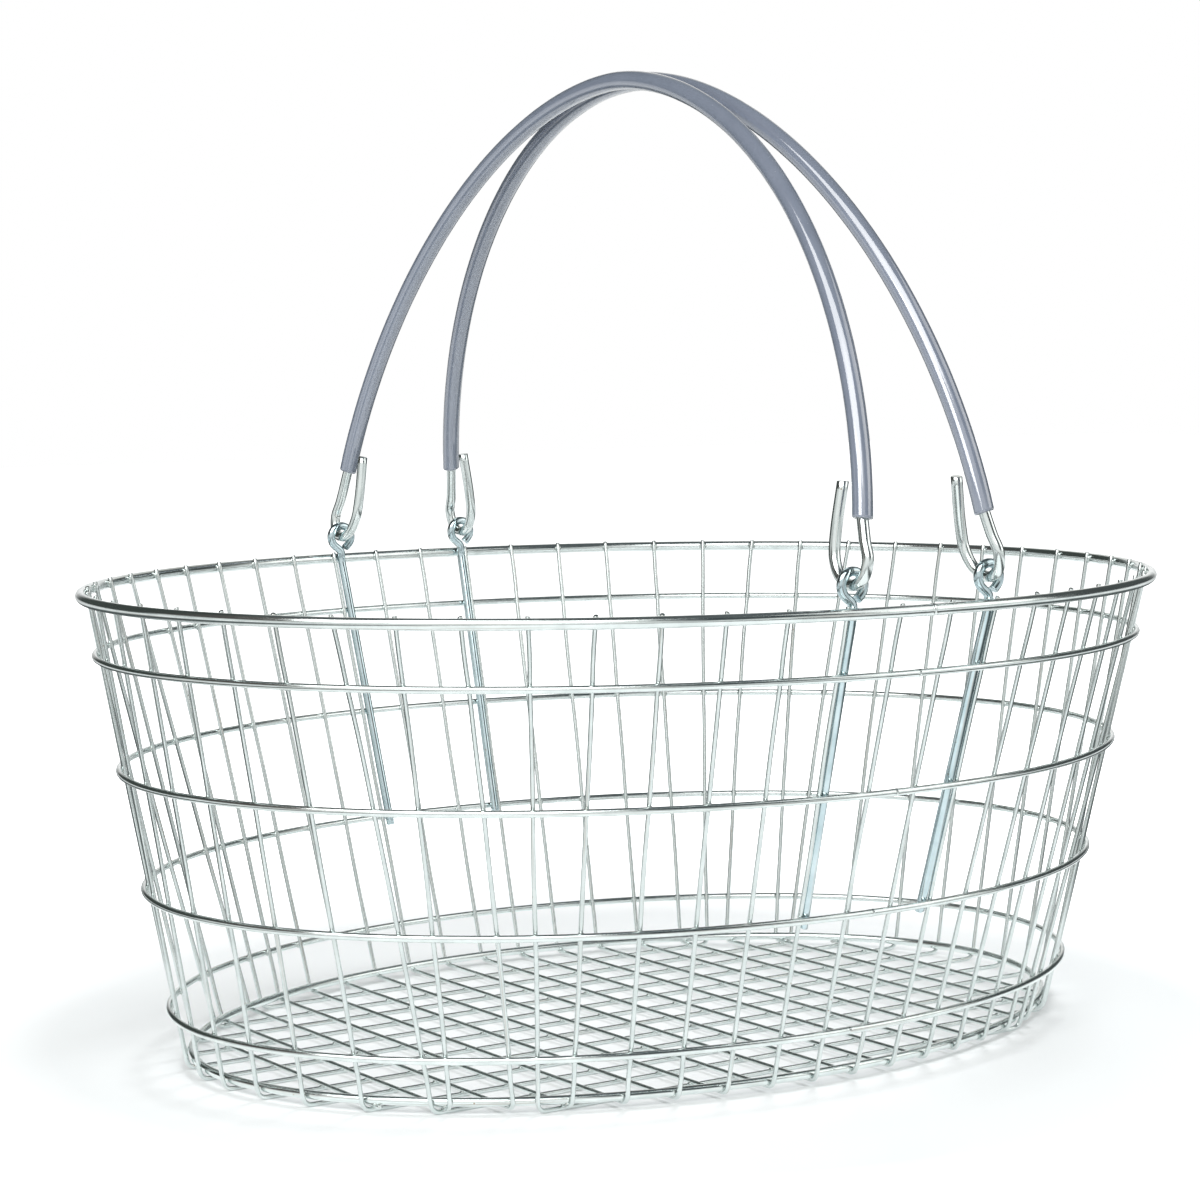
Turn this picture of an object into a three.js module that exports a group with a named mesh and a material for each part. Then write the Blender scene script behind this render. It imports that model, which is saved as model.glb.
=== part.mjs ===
// Oval wire shopping basket with two folding arched handles, each with a plastic tube grip.
// Millimetres. X runs along the basket, Y across it, Z up. The origin is on the floor, under the middle.
import * as THREE from "three";

// Wire and tube sizes
const RIM_D = 4.4;
const BAND_D = 2.8;
const BASE_HOOP_D = 3.4;
const RIB_D = 1.8;
const POST_D = 3.6;
const HANDLE_D = 4.4;
const GRIP_D = 7.6;

// Clearances: wires that are welded in the real basket stay this far apart here
const WELD_GAP = 0.3;
const CORNER_ROOM = 0.15;
const BEND_ROOM = 0.9;
const GRIP_BORE_CLEARANCE = 0.35;
const SEAM_GAP = 0.3;
const HANDLE_TOUCH_GAP = 0.35;

// Wall: half length and half width of the oval that the rib centre lines follow, and how far it flares out
const WALL_A_RIM = 227;
const WALL_B_RIM = 190;
const END_FLARE = 30.2;
const SIDE_FLARE = 52.9;
const WALL_RISE = 179.4;
const BAND_RISES = [16.1, 63.4, 110.4, 155.8];
const WALL_SLANT_COS = Math.cos(THREE.MathUtils.degToRad(14));
const RIB_TIP = 0.4;

// Floor grid: the wires repeat up to an open bay before the wall
const CROSS_PITCH = 19.3;
const END_BAY = 33;
const LONG_PITCH = 19.75;
const SIDE_BAY = 28.5;
const CROSS_BEND = 3.2;
const LONG_BEND = 3.8;
const END_WIRE_STOP = 1.2;
const FOOT_SHORT = 4.5;
const FOOT_BEYOND = 6.9;

// Eye posts: each stands beside the second cross wire from the middle
const POST_BESIDE = 2;
const POST_FOOT = 3;
const EYE_HOLE_R = 3.3;
const EYE_RISE = 10;

// Handles: the arch is a superellipse above the hinge line, and bulges out past the eyes
const ARCH_BULGE = 3.6;
const ARCH_HEIGHT = 195.6;
const ARCH_POWER = 1.86;
const GRIP_END_FAR = 30;
const GRIP_END_NEAR = 24;
const HOOK_OUT = 7;
const HOOK_IN = 12.8;
const TAIL_INSET = 12;
const TAIL_TOP = 37;

// Fineness of the faceted wires
const THIN_SIDES = 6;
const THICK_SIDES = 8;
const ARCH_STEPS = 26;
const HOOK_STEPS = 16;
const EYE_STEPS = 12;

// Radii and levels that follow from the sizes
const RIB_R = RIB_D / 2;
const POST_R = POST_D / 2;
const HANDLE_R = HANDLE_D / 2;
const GRIP_R = GRIP_D / 2;
const THIN_FLAT = Math.sqrt(Math.PI / (THIN_SIDES * Math.tan(Math.PI / THIN_SIDES)));
const LONG_Z = RIB_R * THIN_FLAT;
const CROSS_Z = LONG_Z + RIB_D * THIN_FLAT + WELD_GAP;
const BASE_Z = CROSS_Z + (RIB_R + BASE_HOOP_D / 2) * 1.03 + WELD_GAP;
const RIM_Z = BASE_Z + WALL_RISE;
const EYE_Z = RIM_Z + EYE_RISE;
const WALL_A_BASE = WALL_A_RIM - END_FLARE;
const WALL_B_BASE = WALL_B_RIM - SIDE_FLARE;
const CROSS_PER_SIDE = Math.round((WALL_A_BASE - END_BAY) / CROSS_PITCH - 0.5);
const LONG_PER_SIDE = Math.round((WALL_B_BASE - SIDE_BAY) / LONG_PITCH + 0.5);

const zinc = () => new THREE.MeshStandardMaterial({ color: 0xccd6d6, roughness: 0.3, metalness: 1 });
const vinyl = () => new THREE.MeshStandardMaterial({ color: 0x6c7080, roughness: 0.35, metalness: 0 });

// A wire's centre line through given points, with its section turned so that one corner keeps to a side.
class WirePath extends THREE.Curve {
  constructor(points, side) {
    super();
    this.points = points;
    this.side = side;
  }
  getPoint(t) {
    const at = t * (this.points.length - 1);
    const i = Math.min(Math.floor(at), this.points.length - 2);
    return this.points[i].clone().lerp(this.points[i + 1], at - i);
  }
  getSpacedPoints() {
    return this.points;
  }
  computeFrenetFrames(segments) {
    const frames = { tangents: [], normals: [], binormals: [] };
    for (let i = 0; i <= segments; i += 1) {
      const before = this.points[Math.max(i - 1, 0)];
      const here = this.points[i];
      const after = this.points[Math.min(i + 1, segments)];
      const into = here.clone().sub(before).normalize();
      const out = after.clone().sub(here).normalize();
      const tangent = into.add(out).normalize();
      const normal = this.side.clone().addScaledVector(tangent, -this.side.dot(tangent)).normalize();
      frames.tangents.push(tangent);
      frames.normals.push(normal);
      frames.binormals.push(new THREE.Vector3().crossVectors(tangent, normal));
    }
    return frames;
  }
}

// A regular polygon with the same area as a circle of the given radius.
function polygon(radius, sides) {
  const corner = radius * Math.sqrt((2 * Math.PI) / (sides * Math.sin((2 * Math.PI) / sides)));
  const points = [];
  for (let i = 0; i < sides; i += 1) {
    const angle = (2 * Math.PI * i) / sides;
    points.push(new THREE.Vector2(corner * Math.cos(angle), corner * Math.sin(angle)));
  }
  return points;
}

const basket = new THREE.Group();
basket.name = "wire_basket";

function addWire(name, points, side, radius, sides, material, boreRadius) {
  const section = new THREE.Shape(polygon(radius, sides));
  if (boreRadius) {
    section.holes.push(new THREE.Path(polygon(boreRadius, sides).reverse()));
  }
  const geometry = new THREE.ExtrudeGeometry(section, {
    steps: points.length - 1,
    bevelEnabled: false,
    extrudePath: new WirePath(points, side),
  });
  const mesh = new THREE.Mesh(geometry, material);
  mesh.name = name;
  basket.add(mesh);
}

const X_SIDE = new THREE.Vector3(1, 0, 0);
const Y_SIDE = new THREE.Vector3(0, 1, 0);
const Z_SIDE = new THREE.Vector3(0, 0, 1);

// The wall's half length and half width at a height.
function wallAt(z) {
  const share = (z - BASE_Z) / WALL_RISE;
  return {
    a: WALL_A_BASE + (WALL_A_RIM - WALL_A_BASE) * share,
    b: WALL_B_BASE + (WALL_B_RIM - WALL_B_BASE) * share,
  };
}

function ovalPoint(a, b, angle, z) {
  return new THREE.Vector3(a * Math.cos(angle), b * Math.sin(angle), z);
}

// The angle of the oval that lies a given way along its curve from the Y axis.
function angleAlong(a, b, way) {
  const step = 0.0005;
  let angle = Math.PI / 2;
  let gone = 0;
  while (gone < way) {
    gone += Math.hypot(a * Math.sin(angle), b * Math.cos(angle)) * step;
    angle -= step;
  }
  return angle + ((gone - way) / Math.hypot(a * Math.sin(angle), b * Math.cos(angle)));
}

// The feet of one quarter, in order from the Y axis, and their evenly spaced tops on the rim.
const crossFeet = [];
for (let i = 0; i <= CROSS_PER_SIDE; i += 1) {
  crossFeet.push(Math.acos(((i + 0.5) * CROSS_PITCH) / wallAt(CROSS_Z).a));
}
const endWireFoot = crossFeet[CROSS_PER_SIDE];
const quarter = [];
for (let i = 0; i < CROSS_PER_SIDE; i += 1) {
  quarter.push({ kind: "cross", number: i, footZ: CROSS_Z, foot: crossFeet[i] });
}

// A long wire turns up well short of a cross wire's foot or well beyond it, so that the bends keep clear.
function clearOfCrossFeet(angle) {
  const wall = wallAt(LONG_Z);
  let kept = angle;
  crossFeet.forEach((foot) => {
    const pace = Math.hypot(wall.a * Math.sin(foot), wall.b * Math.cos(foot));
    const beyond = (foot - angle) * pace;
    if (beyond > -FOOT_SHORT && beyond < FOOT_BEYOND) {
      const staysShort = 2 * beyond < FOOT_BEYOND - FOOT_SHORT;
      kept = staysShort ? foot + FOOT_SHORT / pace : foot - FOOT_BEYOND / pace;
    }
  });
  return kept;
}
for (let i = 0; i < LONG_PER_SIDE; i += 1) {
  const foot = Math.asin(((i + 0.5) * LONG_PITCH) / wallAt(LONG_Z).b);
  quarter.push({ kind: "long", number: i, footZ: LONG_Z, foot: clearOfCrossFeet(foot) });
}
quarter.sort((p, q) => q.foot - p.foot);
let quarterWay = 0;
for (let i = 0; i < 1000; i += 1) {
  const angle = ((i + 0.5) * Math.PI) / 2000;
  const pace = Math.hypot(WALL_A_RIM * Math.sin(angle), WALL_B_RIM * Math.cos(angle));
  quarterWay += (pace * Math.PI) / 2000;
}
quarter.forEach((rib, i) => {
  rib.top = angleAlong(WALL_A_RIM, WALL_B_RIM, ((i + 0.5) * quarterWay) / quarter.length);
});

// Where a rib is on the wall at a height: it leans from its foot to its top.
function ribAngle(rib, z) {
  return rib.foot + ((rib.top - rib.foot) * (z - rib.footZ)) / (RIM_Z - rib.footZ);
}

function ribPoint(rib, z) {
  const wall = wallAt(z);
  return ovalPoint(wall.a, wall.b, ribAngle(rib, z), z);
}

// One rise of a rib in the first quarter, from the floor run's bend up to the tip above the rim.
function rise(rib, run, bend) {
  const corner = ribPoint(rib, rib.footZ);
  const start = corner.clone().addScaledVector(run, -bend);
  const end = ribPoint(rib, rib.footZ + bend);
  const curve = new THREE.QuadraticBezierCurve3(start, corner, end);
  const points = curve.getPoints(2);
  BAND_RISES.forEach((height) => points.push(ribPoint(rib, BASE_Z + height)));
  points.push(ribPoint(rib, RIM_Z));
  points.push(ribPoint(rib, RIM_Z + RIM_D / 2 + RIB_TIP));
  return points;
}

// Cross wires: down one long wall, over the floor and up the other
let crossNumber = 0;
for (const sign of [-1, 1]) {
  quarter.filter((rib) => rib.kind === "cross").forEach((rib) => {
    const up = rise(rib, Y_SIDE, CROSS_BEND);
    const far = up.map((p) => new THREE.Vector3(sign * p.x, p.y, p.z));
    const near = up.map((p) => new THREE.Vector3(sign * p.x, -p.y, p.z));
    crossNumber += 1;
    addWire(`cross_wire_${crossNumber}`, [...far.reverse(), ...near], X_SIDE, RIB_R, THIN_SIDES, zinc());
  });
}

// Long wires: down one end, along under the cross wires and up the other end
let longNumber = 0;
for (const sign of [-1, 1]) {
  quarter.filter((rib) => rib.kind === "long").forEach((rib) => {
    const up = rise(rib, X_SIDE, LONG_BEND);
    const left = up.map((p) => new THREE.Vector3(-p.x, sign * p.y, p.z));
    const right = up.map((p) => new THREE.Vector3(p.x, sign * p.y, p.z));
    longNumber += 1;
    addWire(`long_wire_${longNumber}`, [...left.reverse(), ...right], Y_SIDE, RIB_R, THIN_SIDES, zinc());
  });
}

// The last floor wire at each end is straight and stops under the base hoop
const endWire = ovalPoint(wallAt(CROSS_Z).a, wallAt(CROSS_Z).b, endWireFoot, CROSS_Z);
const endWireY = endWire.y - END_WIRE_STOP;
for (const sign of [-1, 1]) {
  const points = [endWireY, -endWireY].map((y) => new THREE.Vector3(sign * endWire.x, y, CROSS_Z));
  addWire(sign < 0 ? "end_wire_left" : "end_wire_right", points, X_SIDE, RIB_R, THIN_SIDES, zinc());
}

// A hoop passes every rib and is open by a hair at its butt-welded seam on the near side.
function addHoop(name, z, offset, radius, sides) {
  const wall = wallAt(z);
  const a = wall.a + offset;
  const b = wall.b + offset;
  const angles = [];
  quarter.forEach((rib) => {
    const angle = ribAngle(rib, z);
    angles.push(angle, Math.PI - angle, Math.PI + angle, 2 * Math.PI - angle);
  });
  const seam = -Math.PI / 2;
  const half = SEAM_GAP / 2 / a;
  const turned = angles.map((angle) => {
    const onward = (angle - seam) % (2 * Math.PI);
    return seam + (onward < 0 ? onward + 2 * Math.PI : onward);
  });
  turned.push(seam + half, seam + 2 * Math.PI - half);
  turned.sort((p, q) => p - q);
  const points = turned.map((angle) => ovalPoint(a, b, angle, z));
  addWire(name, points, Z_SIDE, radius, sides, zinc());
}

const outside = (radius) => (RIB_R + radius + WELD_GAP) / WALL_SLANT_COS + CORNER_ROOM;
addHoop("rim_hoop", RIM_Z, outside(RIM_D / 2), RIM_D / 2, THICK_SIDES);
BAND_RISES.forEach((height, i) => {
  addHoop(`band_hoop_${i + 1}`, BASE_Z + height, outside(BAND_D / 2), BAND_D / 2, THIN_SIDES);
});
const baseInset = outside(BASE_HOOP_D / 2) + BEND_ROOM;
addHoop("base_hoop", BASE_Z, -baseInset, BASE_HOOP_D / 2, THIN_SIDES);

// Eye posts: inside the wall from below the second band to the rim, then a closed eye above it
const postRib = quarter.find((rib) => rib.kind === "cross" && rib.number === POST_BESIDE - 1);
const postBeside = POST_R + RIB_R + WELD_GAP;
const eyeR = EYE_HOLE_R + POST_R;

function postPoint(z) {
  const wall = wallAt(z);
  const inset = (POST_R - RIB_R) / WALL_SLANT_COS + 2 * CORNER_ROOM;
  const angle = ribAngle(postRib, z) + postBeside / wall.a;
  return ovalPoint(wall.a - inset, wall.b - inset, angle, z);
}

const postTop = postPoint(RIM_Z);
const EYE_X = postTop.x;
const EYE_Y = postTop.y;

let postNumber = 0;
for (const signX of [-1, 1]) {
  for (const signY of [-1, 1]) {
    const points = [];
    [BASE_Z + BAND_RISES[1] - POST_FOOT, BASE_Z + BAND_RISES[2], BASE_Z + BAND_RISES[3], RIM_Z].forEach((z) => {
      const p = postPoint(z);
      points.push(new THREE.Vector3(signX * p.x, signY * p.y, z));
    });
    const inEye = (x, z) => new THREE.Vector3(signX * EYE_X + x, signY * EYE_Y, EYE_Z + z);
    points.push(inEye(0, -1.8 * eyeR));
    points.push(inEye(-0.05 * eyeR, -1.3 * eyeR));
    for (let i = 0; i <= EYE_STEPS; i += 1) {
      const angle = THREE.MathUtils.degToRad(220 - (270 * i) / EYE_STEPS);
      points.push(inEye(eyeR * Math.cos(angle), eyeR * Math.sin(angle)));
    }
    points.push(inEye(0.42 * eyeR, -0.96 * eyeR));
    postNumber += 1;
    addWire(`eye_post_${postNumber}`, points, Y_SIDE, POST_R, THIN_SIDES, zinc());
  }
}

// Handles: both lean inwards until their grips meet at the top
const ARCH_HALF_WIDTH = EYE_Y + ARCH_BULGE;
const LEAN = Math.asin((EYE_X - GRIP_R - HANDLE_TOUCH_GAP) / ARCH_HEIGHT);
const archAngle = (height) => Math.asin((height / ARCH_HEIGHT) ** (ARCH_POWER / 2));

function archPoint(angle) {
  const across = Math.cos(angle);
  return new THREE.Vector2(
    ARCH_HALF_WIDTH * Math.sign(across) * Math.abs(across) ** (2 / ARCH_POWER),
    ARCH_HEIGHT * Math.sin(angle) ** (2 / ARCH_POWER),
  );
}

const archFrom = archAngle(GRIP_END_FAR);
const archTo = Math.PI - archAngle(GRIP_END_NEAR);
const arch = [];
for (let i = 0; i <= ARCH_STEPS; i += 1) {
  arch.push(archPoint(archFrom + ((archTo - archFrom) * i) / ARCH_STEPS));
}

// The hook at one end of a handle: out past the eye, through it, and back up inside as a tail
function hookFrom(gripEnd) {
  const curve = new THREE.CatmullRomCurve3([
    new THREE.Vector3(Math.abs(gripEnd.x), gripEnd.y, 0),
    new THREE.Vector3(EYE_Y + 0.6 * HOOK_OUT, 2.3 * HOOK_OUT, 0),
    new THREE.Vector3(EYE_Y + HOOK_OUT, 1.35 * HOOK_OUT, 0),
    new THREE.Vector3(EYE_Y + 0.8 * HOOK_OUT, 0.43 * HOOK_OUT, 0),
    new THREE.Vector3(EYE_Y, 0, 0),
    new THREE.Vector3(EYE_Y - 0.57 * HOOK_IN, 0.2 * HOOK_IN, 0),
    new THREE.Vector3(EYE_Y - 0.92 * HOOK_IN, 0.72 * HOOK_IN, 0),
    new THREE.Vector3(EYE_Y - HOOK_IN, 1.45 * HOOK_IN, 0),
    new THREE.Vector3(EYE_Y - TAIL_INSET, TAIL_TOP, 0),
  ]);
  return curve.getPoints(HOOK_STEPS).slice(1).map((p) => new THREE.Vector2(p.x, p.y));
}
const hookFar = hookFrom(arch[0]);
const hookNear = hookFrom(arch[ARCH_STEPS]);

for (const sign of [-1, 1]) {
  const letter = sign < 0 ? "a" : "b";
  const inPlane = (p) => new THREE.Vector3(
    sign * (EYE_X - p.y * Math.sin(LEAN)),
    p.x,
    EYE_Z + p.y * Math.cos(LEAN),
  );
  const side = new THREE.Vector3(sign * Math.cos(LEAN), 0, Math.sin(LEAN));
  const farHook = hookFar.map(inPlane).reverse();
  const nearHook = hookNear.map((p) => inPlane(new THREE.Vector2(-p.x, p.y)));
  const bow = arch.map(inPlane);
  addWire(`handle_wire_${letter}`, [...farHook, ...bow, ...nearHook], side, HANDLE_R, THICK_SIDES, zinc());
  const bore = HANDLE_R + GRIP_BORE_CLEARANCE;
  addWire(`handle_grip_${letter}`, bow, side, GRIP_R, THICK_SIDES, vinyl(), bore);
}

export default basket;
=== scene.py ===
# %% [markdown]
# # An oval wire shopping basket
#
# This lesson dresses a imported CAD basket: hoops, bent wires, eye posts and two folding handles.
# The CAD wires are faceted and stand a hair apart, because solids may not overlap. Here each one is
# drawn again as a round wire that is sunk into its neighbours, and every crossing gets its weld.
# The frame is loaded first.

# %% Load the frame
import math
import random

import bpy
from mathutils import Matrix, Vector


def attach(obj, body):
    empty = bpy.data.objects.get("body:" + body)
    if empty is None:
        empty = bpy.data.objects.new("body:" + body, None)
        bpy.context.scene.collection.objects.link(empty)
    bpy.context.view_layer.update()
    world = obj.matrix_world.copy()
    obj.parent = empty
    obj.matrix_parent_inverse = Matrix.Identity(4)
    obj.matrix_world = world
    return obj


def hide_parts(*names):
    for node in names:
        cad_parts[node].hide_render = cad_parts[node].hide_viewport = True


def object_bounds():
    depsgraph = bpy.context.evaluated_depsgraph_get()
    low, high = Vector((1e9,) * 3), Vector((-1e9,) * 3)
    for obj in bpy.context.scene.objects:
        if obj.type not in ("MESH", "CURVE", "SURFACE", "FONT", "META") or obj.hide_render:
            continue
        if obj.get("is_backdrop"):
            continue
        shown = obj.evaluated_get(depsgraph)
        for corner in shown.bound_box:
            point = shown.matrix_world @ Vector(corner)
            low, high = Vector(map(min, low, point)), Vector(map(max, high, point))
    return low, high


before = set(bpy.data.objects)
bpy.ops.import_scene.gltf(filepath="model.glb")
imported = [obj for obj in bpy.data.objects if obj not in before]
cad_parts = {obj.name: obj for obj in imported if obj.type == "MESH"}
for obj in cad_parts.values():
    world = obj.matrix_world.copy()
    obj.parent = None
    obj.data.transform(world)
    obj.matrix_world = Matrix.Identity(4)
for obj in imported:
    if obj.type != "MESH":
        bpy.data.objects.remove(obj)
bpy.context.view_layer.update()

# %% [markdown]
# ## Sizes
#
# All sizes are in millimetres, as a wire bender would note them, and turn into metres when a mesh is made.
# The wall is a cone over an oval: a longer and wider oval at the rim than at the base. Wire levels are the
# welded ones: a resistance weld presses two wires together until they share about a sixth of their thickness.

# %% Wire sizes and levels
MM = 0.001
RIM_D, BAND_D, BASE_HOOP_D, RIB_D, POST_D = 4.4, 2.8, 3.4, 1.8, 3.6
HANDLE_D, GRIP_D, GRIP_BORE_D = 4.4, 7.6, 5.1
WALL_A_RIM, WALL_B_RIM, END_FLARE, SIDE_FLARE = 227.0, 190.0, 30.2, 52.9
BASE_LEVEL, WALL_RISE = 5.85, 179.4
BAND_RISES = (16.1, 63.4, 110.4, 155.8)
RIM_LEVEL = BASE_LEVEL + WALL_RISE
WALL_LEAN = math.radians(14)
WALL_SLANT = math.cos(WALL_LEAN)
WELD_SINK = 0.84
LONG_Z = RIB_D / 2
CROSS_Z = LONG_Z + RIB_D * WELD_SINK
BASE_HOOP_Z = CROSS_Z + (RIB_D + BASE_HOOP_D) / 2 * WELD_SINK
print(f"floor wires at {LONG_Z:.2f} and {CROSS_Z:.2f} mm,",
      f"base hoop at {BASE_HOOP_Z:.2f} mm, rim at {RIM_LEVEL:.2f} mm")

# %% [markdown]
# ## Where the ribs stand
#
# The floor wires are evenly spaced on the floor, and their ends are evenly spaced round the rim, so each rib
# leans a little along the wall. One quarter of the basket is worked out and mirrored. A rib is named by the
# angle of its foot and of its top on the oval, and its angle changes evenly with height.

# %% The oval wall and the rib angles
CROSS_PITCH, CROSS_PER_SIDE = 19.3, 8
LONG_PITCH, LONG_PER_SIDE = 19.75, 6
FOOT_SHIFTS = {4: -2.4}  # this long wire's bend keeps clear of a cross wire's foot


def wall_at(z):
    share = (z - BASE_LEVEL) / WALL_RISE
    return WALL_A_RIM - END_FLARE * (1 - share), WALL_B_RIM - SIDE_FLARE * (1 - share)


def on_oval(angle, z, outward=0.0):
    a, b = wall_at(z)
    return Vector(((a + outward) * math.cos(angle), (b + outward) * math.sin(angle), z))


def quarter_ribs():
    ribs = []
    for i in range(CROSS_PER_SIDE):
        foot = math.acos((i + 0.5) * CROSS_PITCH / wall_at(CROSS_Z)[0])
        ribs.append({"kind": "cross", "foot_z": CROSS_Z, "foot": foot})
    for i in range(LONG_PER_SIDE):
        a, b = wall_at(LONG_Z)
        foot = math.asin((i + 0.5) * LONG_PITCH / b)
        foot += FOOT_SHIFTS.get(i, 0.0) / math.hypot(a * math.sin(foot), b * math.cos(foot))
        ribs.append({"kind": "long", "foot_z": LONG_Z, "foot": foot})
    ribs.sort(key=lambda rib: -rib["foot"])
    steps = 4000
    ways = [0.0]
    for i in range(steps):
        angle = math.pi / 2 * (1 - (i + 0.5) / steps)
        pace = math.hypot(WALL_A_RIM * math.sin(angle), WALL_B_RIM * math.cos(angle))
        ways.append(ways[-1] + pace * math.pi / 2 / steps)
    for i, rib in enumerate(ribs):
        wanted = (i + 0.5) / len(ribs) * ways[-1]
        rib["top"] = math.pi / 2 * (1 - sum(way < wanted for way in ways) / steps)
    return ribs


quarter = quarter_ribs()
print(len(quarter), "ribs in a quarter:", " ".join(rib["kind"][0] for rib in quarter))

# %% [markdown]
# ## One wire
#
# A drawn wire is a circle swept along a path. A curve object with a bevel would do it in one line, but the
# ends, the seam of a hoop and the finish need more: here each ring of points is placed in code. Every point
# also keeps its *lay*: its place in the section and its way along the wire. The finishes use the lay as
# their texture coordinates, so drawing lines run along each wire wherever it bends. A second value, *heat*,
# says how near a weld the point is.

# %% Sweep a round wire along a path
CHAMFER_LONG, CHAMFER_SHARE = 0.16, 0.86  # a cut end narrows to this share of its radius
WELD_REACH = 3.0
LAY_APART = 97.0  # so that no two wires start at the same place in the textures
wire_count = 0


def near_weld(point, welds):
    nearest = min(((point - weld).length_squared for weld in welds), default=math.inf)
    return math.exp(-nearest / WELD_REACH**2)


def make_mesh(name, verts, faces, flat_faces, lay, heat):
    mesh = bpy.data.meshes.new(name)
    mesh.from_pydata([v * MM for v in verts], [], faces)
    mesh.polygons.foreach_set("use_smooth", [i not in flat_faces for i in range(len(faces))])
    mesh.attributes.new("lay", "FLOAT_VECTOR", "POINT").data.foreach_set("vector", [c for v in lay for c in v])
    mesh.attributes.new("heat", "FLOAT", "POINT").data.foreach_set("value", heat)
    made = bpy.data.objects.new(name, mesh)
    bpy.context.scene.collection.objects.link(made)
    return made


def sweep(name, path, radius, sides, side, welds=(), closed=False, slant=0.2):
    global wire_count
    wire_count += 1
    radii = radius if isinstance(radius, list) else [radius] * len(path)
    if not closed:
        into, out = (path[0] - path[1]).normalized(), (path[-1] - path[-2]).normalized()
        path = [path[0] + into * CHAMFER_LONG, *path, path[-1] + out * CHAMFER_LONG]
        radii = [radii[0] * CHAMFER_SHARE, *radii, radii[-1] * CHAMFER_SHARE]
    verts, lay, heat, way = [], [], [], LAY_APART * wire_count
    last = len(path) - 1
    for i, point in enumerate(path):
        before = path[(i - 1) % len(path)] if closed else path[max(i - 1, 0)]
        after = path[(i + 1) % len(path)] if closed else path[min(i + 1, last)]
        tangent = (after - before).normalized()
        normal = (side - tangent * side.dot(tangent)).normalized()
        binormal = tangent.cross(normal)
        way += (point - path[i - 1]).length if i else 0.0
        hot = near_weld(point, welds)
        cut = slant * radii[i] if not closed and i in (0, 1, last - 1, last) else 0.0
        for k in range(sides):
            turn = 2 * math.pi * k / sides
            across = normal * math.cos(turn) + binormal * math.sin(turn)
            verts.append(point + across * radii[i] + tangent * (cut * math.cos(turn + wire_count)))
            lay.append((radii[i] * math.cos(turn), radii[i] * math.sin(turn), way))
            heat.append(hot)
    faces = []
    for i in range(len(path) if closed else last):
        a, b = i * sides, (i + 1) % len(path) * sides
        faces += [(a + k, a + (k + 1) % sides, b + (k + 1) % sides, b + k) for k in range(sides)]
    flat = set()
    if not closed:
        flat = {len(faces), len(faces) + 1}
        faces += [tuple(reversed(range(sides))), tuple(last * sides + k for k in range(sides))]
    return make_mesh(name, verts, faces, flat, lay, heat)


X, Y, Z = Vector((1, 0, 0)), Vector((0, 1, 0)), Vector((0, 0, 1))
print("a ring of points every few millimetres, and a cut face at each free end")

# %% [markdown]
# ## Cross wires and long wires
#
# Each is one piece of 1.8 mm wire bent to a U: down the wall, over the floor and up the other side. The long
# wires lie lowest, and the cross wires lie on them. A bent wire is never quite straight, so between two welds
# a rib bows by a few tenths of a millimetre, with a fixed seed so that each run is the same.

# %% Paths of the bent wires
STEP, LAST_STEP = 5.0, 1.0
RIB_TIP, END_WIRE_SHORT = 0.3, 1.2
BEND_RINGS, BOW = 6, 0.3
BENDS = {"cross": 3.2, "long": 3.8}
BAND_LEVELS = [BASE_LEVEL + rise for rise in BAND_RISES]
HELD_AT = [BASE_LEVEL, *BAND_LEVELS, RIM_LEVEL]
bow = random.Random(7)


def rib_angle(rib, z):
    return rib["foot"] + (rib["top"] - rib["foot"]) * (z - rib["foot_z"]) / (RIM_LEVEL - rib["foot_z"])


def rise_of(rib, run):
    """Points from the bend at the floor up to the tip, in the first quarter."""
    bend = BENDS[rib["kind"]]
    corner = on_oval(rib["foot"], rib["foot_z"])
    start = corner - run * bend
    end = on_oval(rib_angle(rib, rib["foot_z"] + bend), rib["foot_z"] + bend)
    points = []
    for i in range(BEND_RINGS + 1):
        t = i / BEND_RINGS
        points.append(start * (1 - t) ** 2 + corner * (2 * t * (1 - t)) + end * t**2)
    bows = [bow.uniform(-BOW, BOW) for _ in HELD_AT]
    z, top = end.z + STEP, RIM_LEVEL + RIM_D / 2 + RIB_TIP
    while z < top - LAST_STEP:
        span = sum(level <= z for level in HELD_AT)
        sway = 0.0
        if span < len(HELD_AT):
            low, high = HELD_AT[span - 1], HELD_AT[span]
            sway = bows[span - 1] * math.sin(math.pi * (z - low) / (high - low))
        points.append(on_oval(rib_angle(rib, z) + sway / wall_at(z)[0], z))
        z += STEP
    points.append(on_oval(rib_angle(rib, top), top))
    return points


def spread_evenly(a, b):
    count = max(2, round((b - a).length / STEP))
    return [a.lerp(b, i / count) for i in range(count + 1)]


def bent_wire(rib, run, mirror):
    far = rise_of(rib, run)
    near = [Vector((p.x, -p.y, p.z)) if run is Y else Vector((-p.x, p.y, p.z)) for p in rise_of(rib, run)]
    path = [*reversed(far), *spread_evenly(far[0], near[0])[1:-1], *near]
    return [Vector((p.x * mirror.x, p.y * mirror.y, p.z)) for p in path]


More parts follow.
